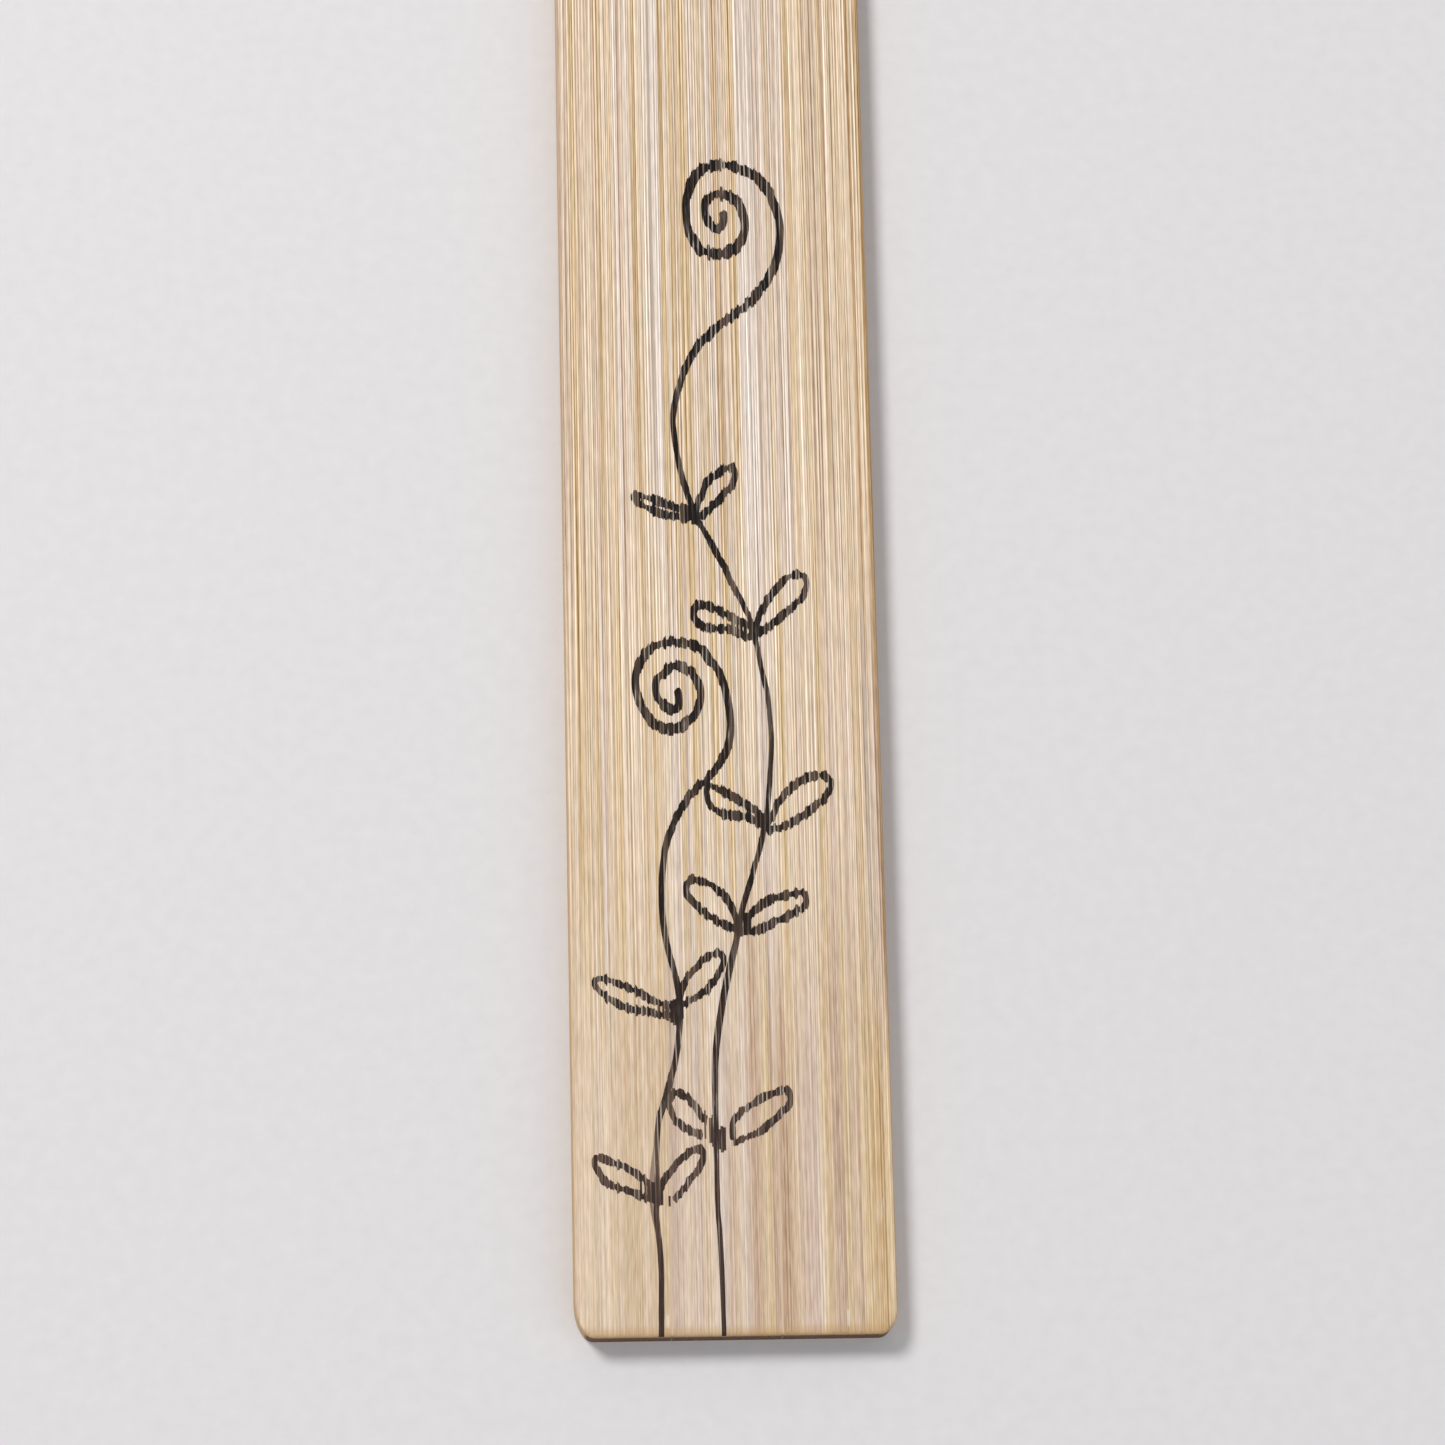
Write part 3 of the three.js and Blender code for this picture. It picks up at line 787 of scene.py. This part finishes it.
# the drawing, as points in millimetres: X from the slat's middle, Y from its square end
tallVine = {
    "over": 0.006,                    # mm, drawn over the other vine where they meet
    # where leaves join the stem, then the stem's width by Y
    "joints": [(-1.0, 15.4), (1.15, 32.3), (3.0, 40.5), (2.6, 56.2), (-2.0, 65.7)],
    "stemWidth": [(0, 0.35), (12, 0.39), (21, 0.50), (29, 0.48), (36, 0.40), (62, 0.37),
                  (75, 0.45), (87, 0.62)],
    "stem": [
        (-1.0, -0.1), (-1.07, 5), (-1.17, 8), (-1.28, 10), (-1.3, 15), (-1.28, 20), (-1.13, 22.5),
        (-0.75, 25), (-0.38, 27), (0, 28.5), (0.4, 30), (0.85, 32), (1.17, 33.5), (1.63, 35),
        (2.25, 37), (2.67, 38.5), (3.25, 41), (3.5, 43), (3.67, 45), (3.8, 47), (3.72, 49),
        (3.55, 51), (3.13, 53), (2.8, 55), (2.33, 57), (1.95, 58), (1.0, 60), (0.08, 62),
        (-0.97, 64), (-1.75, 65.5), (-2.25, 67), (-2.88, 69), (-3.25, 71), (-3.5, 73.8),
        (-3.13, 76), (-2.47, 78), (-1.38, 80), (-0.42, 81), (0.67, 82), (2.0, 83), (3.13, 84),
        (3.92, 85), (4.58, 86), (5.08, 87), (5.5, 89), (5.47, 91), (4.83, 93), (4.17, 94),
        (3.5, 94.7), (2.67, 95.2), (1.67, 95.5), (0.67, 95.6), (-0.5, 95.3), (-1.25, 94.7),
        (-1.97, 93), (-2.08, 91.5), (-1.95, 90), (-1.5, 89), (-1.0, 88.3), (-0.17, 88),
        (0.67, 87.9), (1.67, 88.3), (2.25, 88.8), (2.62, 89.7), (2.67, 90.7), (2.42, 91.7),
        (2.0, 92.5), (1.17, 93), (0.5, 93.1), (-0.08, 92.8), (-0.5, 92.2), (-0.53, 91.5),
        (-0.3, 90.8), (0.17, 90.2), (0.7, 90.2), (0.95, 90.8), (0.92, 91.7)],
    "leaves": [
        [(-2.0, 16.65), (-2.25, 16.95), (-2.7, 17.6), (-3.3, 18.4), (-4.0, 18.9), (-4.6, 18.85),
         (-4.9, 18.3), (-4.8, 17.6), (-4.4, 16.8), (-3.6, 16.15), (-2.8, 15.75), (-2.3, 15.6)],
        [(0.0, 15.2), (0.02, 16.4), (0.6, 17.3), (1.3, 17.8), (2.2, 18.4), (3.2, 18.8),
         (4.1, 19.1), (4.5, 18.8), (4.5, 18.0), (4.0, 17.5), (3.2, 16.7), (2.2, 15.9),
         (1.3, 15.5), (0.5, 15.15), (0.05, 15.0)],
        [(0.8, 32.1), (0.35, 33.6), (-0.1, 34.4), (-0.7, 35.0), (-1.5, 35.6), (-2.3, 35.8),
         (-2.8, 35.95), (-3.2, 35.4), (-3.15, 34.7), (-2.5, 33.9), (-1.9, 33.3), (-1.2, 32.8),
         (-0.6, 32.4), (0.1, 32.1), (0.7, 31.9)],
        [(1.6, 31.7), (1.65, 32.8), (2.0, 33.3), (2.8, 33.9), (3.6, 34.3), (4.4, 34.5),
         (5.3, 34.7), (6.0, 34.75), (6.2, 34.3), (6.1, 33.7), (5.4, 33.3), (4.6, 32.8),
         (3.8, 32.5), (3.1, 32.1), (2.3, 31.8), (1.6, 31.6)],
        [(2.9, 40.7), (2.5, 41.3), (1.8, 41.8), (0.9, 42.4), (0.2, 42.8), (-0.6, 43.2),
         (-1.3, 43.5), (-1.45, 42.9), (-1.3, 42.2), (-1.0, 41.7), (-0.4, 41.25), (0.2, 41.1),
         (1.0, 41.0), (1.8, 40.9), (2.4, 40.5), (2.9, 40.2)],
        [(3.2, 40.3), (3.8, 41.1), (4.2, 42.0), (4.8, 42.8), (5.6, 43.5), (6.4, 44.0),
         (7.2, 44.2), (7.9, 44.2), (8.4, 43.8), (8.35, 43.1), (8.0, 42.5), (7.2, 41.8),
         (6.3, 41.1), (5.4, 40.5), (4.5, 40.1), (3.8, 39.9), (3.2, 39.8)],
        [(2.5, 56.4), (1.8, 56.8), (1.1, 57.1), (0.4, 57.5), (-0.3, 57.9), (-1.0, 58.2),
         (-1.7, 58.3), (-2.2, 57.9), (-2.15, 57.2), (-1.5, 56.55), (-0.9, 56.4), (-0.2, 56.3),
         (0.6, 56.3), (1.3, 56.0), (1.9, 55.7), (2.5, 55.6)],
        [(2.7, 56.2), (3.0, 57.2), (3.5, 58.2), (4.1, 59.1), (4.7, 59.9), (5.4, 60.5),
         (6.1, 60.8), (6.6, 60.7), (6.9, 60.2), (6.85, 59.5), (6.5, 58.9), (5.9, 58.2),
         (5.2, 57.6), (4.6, 57.1), (3.9, 56.5), (3.2, 56.1), (2.8, 55.9)],
        [(-2.0, 65.95), (-2.6, 66.15), (-3.4, 66.4), (-4.2, 66.7), (-5.0, 67.0), (-5.85, 67.3),
         (-6.4, 67.5), (-6.8, 67.4), (-6.6, 66.95), (-5.9, 66.5), (-5.1, 66.1), (-4.2, 65.8),
         (-3.4, 65.68), (-2.6, 65.6), (-2.0, 65.6)],
        [(-1.8, 65.7), (-1.7, 66.6), (-1.3, 67.5), (-0.9, 68.5), (-0.3, 69.0), (0.2, 69.4),
         (0.8, 69.7), (1.2, 69.75), (1.4, 69.3), (1.3, 68.6), (0.9, 68.0), (0.3, 67.3),
         (-0.2, 66.8), (-0.7, 66.3), (-1.1, 65.9), (-1.6, 65.6)],
    ],
    # short marks along the grain where the pen paused: X, from Y, to Y, width
    "bars": [(-2.12, 15.35, 17.6, 0.12), (-1.72, 15.0, 17.0, 0.2), (-1.5, 14.7, 17.2, 0.22),
             (-1.02, 14.5, 16.1, 0.22), (-0.83, 14.25, 16.3, 0.22), (-0.64, 14.4, 16.2, 0.22),
             (0.14, 14.75, 16.3, 0.2),
             (0.95, 31.3, 33.0, 0.4), (1.4, 31.4, 33.2, 0.4), (3.0, 40.0, 41.2, 0.34),
             (0.95, 55.95, 57.3, 0.3), (1.3, 55.85, 57.3, 0.2), (1.6, 55.7, 57.1, 0.2),
             (1.93, 55.25, 57.0, 0.26), (2.3, 55.4, 56.8, 0.2), (2.75, 55.4, 56.8, 0.4),
             (-1.95, 65.0, 66.6, 0.5), (-2.5, 65.3, 66.6, 0.3), (-2.95, 65.3, 66.6, 0.26),
             (-3.3, 65.4, 66.7, 0.16), (-6.1, 66.4, 67.6, 0.2), (-6.4, 66.7, 67.75, 0.3)],
    "wash": [],
}

shortVine = {
    "over": 0.0,
    "joints": [(-6.0, 11.2), (-4.15, 25.6)],
    "stemWidth": [(0, 0.43), (12, 0.42), (22, 0.46), (34, 0.48), (42, 0.48), (48, 0.60)],
    "stem": [
        (-5.83, -0.1), (-5.78, 3), (-5.75, 5), (-5.83, 7), (-5.92, 8), (-6.05, 9.5), (-5.95, 11),
        (-5.92, 12), (-5.95, 14), (-5.83, 16), (-5.67, 17), (-5.37, 18), (-5.03, 19), (-4.75, 20),
        (-4.47, 21), (-4.25, 22), (-4.1, 23), (-3.95, 24.5), (-3.9, 26), (-4.17, 28), (-4.67, 30),
        (-5.03, 32), (-5.17, 34), (-5.12, 36), (-4.88, 38), (-4.63, 39), (-4.3, 40), (-3.83, 41),
        (-3.25, 42), (-2.5, 43), (-1.83, 43.6), (-1.33, 44), (-0.58, 45), (0.03, 46), (0.47, 47.3),
        (0.55, 49), (0.28, 51), (-0.38, 53), (-1.13, 54), (-1.58, 54.5), (-2.33, 55),
        (-3.33, 55.2), (-4.33, 55.2), (-5.5, 54.8), (-6.25, 54), (-6.75, 53), (-6.92, 52),
        (-6.8, 51), (-6.47, 50), (-5.92, 49), (-5.08, 48.3), (-4.17, 48.1), (-3.17, 48.4),
        (-2.33, 49.2), (-1.92, 50), (-1.75, 51), (-1.97, 52), (-2.42, 52.7), (-3.17, 53.2),
        (-3.83, 53.3), (-4.58, 52.8), (-5.17, 52.2), (-5.33, 51.5), (-5.2, 50.8), (-4.83, 50.2),
        (-4.17, 49.75), (-3.58, 50), (-3.5, 50.7), (-3.67, 51.4)],
    "leaves": [
        [(-6.1, 11.6), (-6.8, 12.1), (-7.3, 12.5), (-7.8, 12.8), (-8.4, 13.2), (-9.2, 13.5),
         (-9.9, 13.8), (-10.5, 13.95), (-10.75, 13.5), (-10.3, 12.5), (-9.8, 12.0), (-9.0, 11.6),
         (-8.3, 11.4), (-7.6, 11.1), (-6.9, 10.8), (-6.1, 10.5)],
        [(-5.8, 11.0), (-5.5, 12.0), (-5.0, 12.6), (-4.5, 13.3), (-3.9, 13.9), (-3.2, 14.4),
         (-2.6, 14.5), (-2.3, 14.15), (-2.4, 13.6), (-2.8, 12.9), (-3.4, 12.1), (-4.0, 11.3),
         (-4.4, 10.85), (-4.75, 10.6)],
        [(-4.3, 25.7), (-5.0, 25.9), (-5.8, 26.2), (-6.3, 26.4), (-6.9, 26.8), (-7.5, 27.1),
         (-8.3, 27.5), (-8.9, 27.7), (-9.5, 27.95), (-10.2, 28.05), (-10.55, 27.7), (-10.1, 27.0),
         (-9.5, 26.5), (-8.7, 26.0), (-8.0, 25.7), (-7.3, 25.5), (-6.4, 25.4), (-5.6, 25.2),
         (-4.8, 25.1), (-4.2, 24.9)],
        [(-3.9, 26.3), (-3.6, 27.4), (-3.1, 28.3), (-2.5, 28.9), (-2.0, 29.5), (-1.3, 29.9),
         (-0.7, 29.95), (-0.42, 29.5), (-0.5, 29.0), (-0.8, 28.4), (-1.3, 27.6), (-1.9, 27.0),
         (-2.6, 26.5), (-3.2, 26.2), (-3.8, 25.8)],
    ],
    "bars": [(-7.2, 10.75, 12.75, 0.16), (-6.85, 10.7, 12.2, 0.16), (-6.6, 10.5, 12.1, 0.26),
             (-6.38, 10.4, 11.95, 0.24), (-6.15, 10.3, 11.9, 0.26), (-5.9, 10.15, 11.9, 0.3),
             (-5.62, 10.2, 11.6, 0.26), (-5.0, 10.1, 10.95, 0.16), (-5.55, 24.85, 26.3, 0.2),
             (-5.2, 24.8, 26.2, 0.16), (-4.85, 24.65, 26.2, 0.24), (-4.55, 24.5, 26.3, 0.24),
             (-4.3, 24.3, 26.4, 0.3), (-4.05, 23.9, 26.5, 0.34), (-3.78, 24.8, 26.3, 0.3)],
    # a paler second pass beside the stem
    "wash": [[(-5.95, 6.6), (-6.02, 8.2), (-6.24, 9.8), (-6.28, 11.5), (-6.2, 13.2), (-6.0, 15.0),
              (-5.85, 16.4)]],
}

pen = {
    "step": 0.05,                     # mm between the cross lines of a stroke
    "curveSteps": 24,                 # steps from one point to the next before that
    # widths and creeping by Y, in mm
    "leafWidth": [(0, 0.42), (60, 0.46), (95, 0.50)],
    "washWidth": [(6.6, 0.1), (8.4, 0.36), (10.5, 0.52), (13.0, 0.46), (16.4, 0.08)],
    "bleed": [(0, 0.17), (45, 0.23), (85, 0.28)],
    "wobble": 0.10,                   # share of the width
    "wobbleGrain": (1.0, 0.8, 3.3),   # waves per mm across and along, place in the noise
    "sway": 0.4,
    "swayGrain": (1.0, 0.1, 6.2),
    "bundles": (4.3, 0.2, 1.3),       # fibre bundles per mm across and along, place in the noise
    "fibres": (9.5, 0.3, 4.4),
    "spurGrain": (6.1, 0.2, 8.8),
    "spurFrom": 0.52,
    "spurLong": 3.5,
    "height": 0.016,                  # mm that the ink stands proud of the face
    "washHeight": 0.010,
    "sunk": 0.03,
    "crossing": 0.03,                 # how soon an edge counts as lying across the grain
    "leastRound": 0.02,
    "merge": 1e-5,                    # mm
    "shortest": 0.0008,               # mm of the shortest edge that stays
    "cornerPull": 0.1,                # how far corners that met in one point draw back
    "smoothUnder": 60,                # degrees
    "start": 0.05,                    # mm from the square end, as are the cross lines below,
    "endCuts": [0.08, 0.12, 0.18, 0.25, 0.33, 0.42],    # which let the film bend over the edge
}


def between(table, y):
    # straight-line reading of a short table of (Y, value)
    if y <= table[0][0]:
        return table[0][1]
    for (y0, v0), (y1, v1) in zip(table, table[1:]):
        if y <= y1:
            return v0 + (v1 - v0) * (y - y0) / (y1 - y0)
    return table[-1][1]


def smoothLine(points):
    # a smooth line through the points, cut into equal steps
    knots = [Vector(p) for p in points]
    line = [knots[0]]
    for i in range(len(knots) - 1):
        before = knots[max(i - 1, 0)]
        after = knots[min(i + 2, len(knots) - 1)]
        a, b = knots[i], knots[i + 1]
        bits = interpolate_bezier(a, a + (b - before) / 6, b - (after - a) / 6, b, pen["curveSteps"])
        line += [Vector(q[:2]) for q in bits[1:]]
    out, rest = [line[0]], pen["step"]
    for a, b in zip(line, line[1:]):
        length = (b - a).length
        while rest <= length:
            out.append(a.lerp(b, rest / length))
            rest += pen["step"]
        rest -= length
    return out


def grainReach(x, y):
    # how far the ink has crept along this fibre: one reach for each bundle, and now and then a spur
    across, along, place = pen["bundles"]
    sway = pen["sway"] * grainNoise(x, y, pen["swayGrain"])
    block = noise.cell(Vector((x * across + sway, y * along, place)))
    across, along, place = pen["fibres"]
    fibre = noise.cell(Vector((x * across, y * along, place)))
    spur = max(0.0, grainNoise(x, y, pen["spurGrain"]) - pen["spurFrom"]) * pen["spurLong"]
    return between(pen["bleed"], y) * (0.45 + 0.65 * block + 0.35 * fibre + spur)


def strokeRims(points, widths, roundEnds=True):
    # the two long edges of one stroke, which creep along the grain
    line = smoothLine(points)
    count = len(line)
    rims = ([], [])
    for i, spot in enumerate(line):
        ahead = (line[min(i + 1, count - 1)] - line[max(i - 1, 0)]).normalized()
        side = Vector((-ahead.y, ahead.x))
        wobble = pen["wobble"] * grainNoise(spot.x, spot.y, pen["wobbleGrain"])
        half = between(widths, spot.y) / 2 * (1 + wobble)
        fromEnd = min(i, count - 1 - i) * pen["step"]
        if roundEnds and fromEnd < half:
            half = math.sqrt(max(pen["leastRound"], 1 - (1 - fromEnd / half) ** 2)) * half
        for rim, sign in zip(rims, (1, -1)):
            out = side * sign
            edge = spot + out * half
            lean = out.y / math.sqrt(out.y ** 2 + pen["crossing"])
            reached = edge.y + lean * grainReach(edge.x, edge.y)
            rim.append(Vector((edge.x, max(pen["start"], reached))))
    return rims


def flatUnion(strokes):
    # one flat triangle mesh of everything that the strokes cover
    verts, edges, cover = [], [], []
    for left, right in strokes:
        first, count = len(verts), len(left)
        verts += left + right
        ring = [first + i for i in range(count)] + [first + 2 * count - 1 - i for i in range(count)]
        edges += list(zip(ring, ring[1:] + ring[:1]))
        for i in range(count - 1):
            a, b = first + i, first + count + i
            cover += [(a, b, b + 1), (a, b + 1, a + 1)]
    tree = BVHTree.FromPolygons([v.to_3d() for v in verts], cover)
    merged = delaunay_2d_cdt(verts, edges, [], 0, pen["merge"], False)
    spots, triangles = merged[0], merged[2]
    kept = []
    for triangle in triangles:
        middle = sum((spots[i] for i in triangle), Vector((0, 0))) / len(triangle)
        if tree.ray_cast(Vector((middle.x, middle.y, 1)), Vector((0, 0, -1)))[0]:
            kept.append(triangle)
    return spots, kept


def faceHeight(y):
    # height of the drawn face at Y from the square end, over the rounded edge too
    r = slat["edgeRound"]
    return thickness - r + math.sqrt(r * r - max(0.0, r - y) ** 2)


def makeFilm(strokes, height, paint):
    # a thin closed film of these strokes, from under the face to just above it
    spots, triangles = flatUnion(strokes)
    sheet = bmesh.new()
    made = [sheet.verts.new((v.x, v.y, 0)) for v in spots]
    for triangle in triangles:
        sheet.faces.new([made[i] for i in triangle]).material_index = paint
    bmesh.ops.delete(sheet, geom=[v for v in made if not v.link_faces], context="VERTS")
    bmesh.ops.dissolve_degenerate(sheet, edges=sheet.edges, dist=pen["shortest"])
    cutAcross(sheet, (0, 1, 0), pen["endCuts"])
    for v in sheet.verts[:]:
        # where two bits of ink meet in one point, each keeps its own corner
        rim = [e for e in v.link_edges if e.is_boundary]
        if len(rim) > 2:
            for corner in {v, *bmesh.utils.vert_separate(v, rim)}:
                inner = sum((f.calc_center_median() for f in corner.link_faces), Vector())
                inner /= max(1, len(corner.link_faces))
                corner.co = corner.co.lerp(inner, pen["cornerPull"])
    top = sheet.faces[:]
    lower = bmesh.ops.extrude_face_region(sheet, geom=top, use_keep_orig=True)
    sunk = {v for v in lower["geom"] if isinstance(v, bmesh.types.BMVert)}
    for v in sheet.verts:
        v.co.z = faceHeight(v.co.y) + (-pen["sunk"] if v in sunk else height)
        v.co.y += squareEnd
    return sheet


def makeVine(name, node, vine, paints):
    strokes = [strokeRims(vine["stem"], vine["stemWidth"])]
    strokes += [strokeRims(leaf, pen["leafWidth"]) for leaf in vine["leaves"]]
    for x, low, high, width in vine["bars"]:
        strokes.append(strokeRims([(x, low), (x, high)], [(0, width)], roundEnds=False))
    bm = makeFilm(strokes, pen["height"] + vine["over"], 0)
    if vine["wash"]:
        washes = [strokeRims(line, pen["washWidth"]) for line in vine["wash"]]
        wash = makeFilm(washes, pen["washHeight"], 1)
        layer = bpy.data.meshes.new("wash")
        wash.to_mesh(layer)
        wash.free()
        bm.from_mesh(layer)
        bpy.data.meshes.remove(layer)
    piece = addPiece(name, bm, paints[0], pen["smoothUnder"])
    for paint in paints[1:]:
        piece.data.materials.append(paint)
    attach(piece, "root")
    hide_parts(node)
    print(name, len(piece.data.polygons), "faces")


def makeFloor():
    bm = bmesh.new()
    bmesh.ops.create_grid(bm, x_segments=2, y_segments=2, size=floorLook["half"])
    addPiece("floor", bm, floorPaint())


makeCamera(camera)
makeLights(studio)
makeFloor()
print("camera, lights and floor are in")
makeSlat()
print("slat is in")
makeVine("inkVineTall", "ink_vine_tall", tallVine, [inkPaint("inkTall", 3.0, tallVine["joints"])])
makeVine("inkVineShort", "ink_vine_short", shortVine,
         [inkPaint("inkShort", 3.0, shortVine["joints"]), washPaint("washShort", 8.0)])
print("drawing is in")
